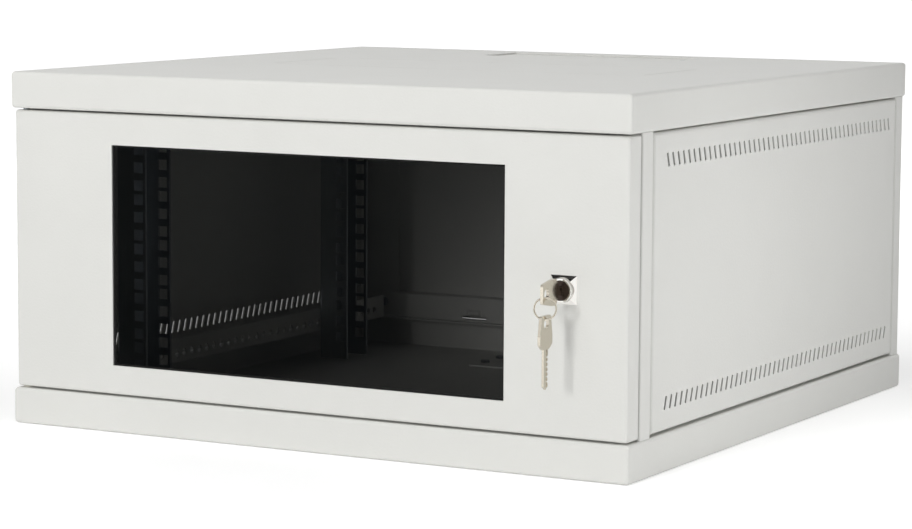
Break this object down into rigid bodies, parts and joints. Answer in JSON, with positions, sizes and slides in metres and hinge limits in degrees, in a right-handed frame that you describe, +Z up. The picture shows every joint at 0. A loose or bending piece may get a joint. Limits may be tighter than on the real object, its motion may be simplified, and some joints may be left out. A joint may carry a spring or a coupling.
{
  "type": "wall mount network cabinet",
  "caption": "Low wall mount network cabinet of folded steel: glazed front door with key lock, vented side panels, 19-inch rack rails on perforated depth rails.",
  "frame": {"origin": "centre of the flat underside of the base tray", "axes": "+X to the right as seen from the front, +Y from the door towards the wall, +Z up"},
  "size_m": [0.6, 0.6405, 0.31],
  "materials": {
    "grey_paint": "fine textured light grey powder coat",
    "zinc_plate": "zinc plated steel",
    "smoked_glass": "smoked safety glass",
    "foam": "black cellular foam strip",
    "lock_chrome": "polished chrome on zinc casting",
    "plug_steel": "dark worn steel",
    "key_nickel": "nickel plated brass",
    "nylon": "natural nylon"
  },
  "bodies": {
    "cabinet": {"base_tray": "grey_paint", "top_cover": "grey_paint", "back_panel": "grey_paint", "rear_rail_lower": "grey_paint", "rear_rail_upper": "grey_paint", "cable_cover_base": "grey_paint", "cable_cover_top": "grey_paint", "front_post_left": "grey_paint", "front_post_right": "grey_paint", "rear_post_left": "grey_paint", "rear_post_right": "grey_paint", "side_panel_left": "grey_paint", "side_panel_right": "grey_paint", "depth_rail_lower_left": "grey_paint", "depth_rail_lower_right": "grey_paint", "depth_rail_upper_left": "grey_paint", "depth_rail_upper_right": "grey_paint", "rack_rail_front_left": "zinc_plate", "rack_rail_front_right": "zinc_plate", "rack_rail_rear_left": "zinc_plate", "rack_rail_rear_right": "zinc_plate", "rail_bolts": "zinc_plate", "panel_screws": "zinc_plate", "back_panel_screws": "zinc_plate", "cable_cover_screws": "zinc_plate", "hinge_washer": "nylon"},
    "door": {"door_panel": "grey_paint", "window_gasket": "foam", "window_glass": "smoked_glass", "glass_clips": "zinc_plate", "clip_nuts": "zinc_plate", "hinge_pin_upper": "zinc_plate", "hinge_pin_lower": "zinc_plate", "lock_housing": "lock_chrome", "lock_nut": "zinc_plate"},
    "lock": {"lock_plug": "plug_steel", "lock_cam": "zinc_plate", "cam_screw": "zinc_plate"},
    "key": {"door_key": "key_nickel"},
    "ring": {"key_ring": "key_nickel"},
    "spare": {"spare_key": "key_nickel"}
  },
  "joints": [
    {"name": "door_hinge", "type": "hinge", "parent": "cabinet", "child": "door", "pos_m": [-0.292, -0.288, 0.15485], "axis": [0, 0, -1], "range_deg": [0, 105]},
    {"name": "lock_turn", "type": "hinge", "parent": "door", "child": "lock", "pos_m": [0.2405, -0.3045, 0.15235], "axis": [0, -1, 0], "range_deg": [0, 90]},
    {"name": "key_pull", "type": "slide", "parent": "lock", "child": "key", "axis": [0, -1, 0], "range_m": [0, 0.026]},
    {"name": "ring_swing", "type": "hinge", "parent": "key", "child": "ring", "pos_m": [0.2405, -0.33, 0.14935], "axis": [-0.8746, -0.4848, 0], "range_deg": [-10, 25]},
    {"name": "spare_swing", "type": "hinge", "parent": "ring", "child": "spare", "pos_m": [0.2405, -0.33, 0.13195], "axis": [-0.8746, -0.4848, 0], "range_deg": [-10, 25]}
  ]
}
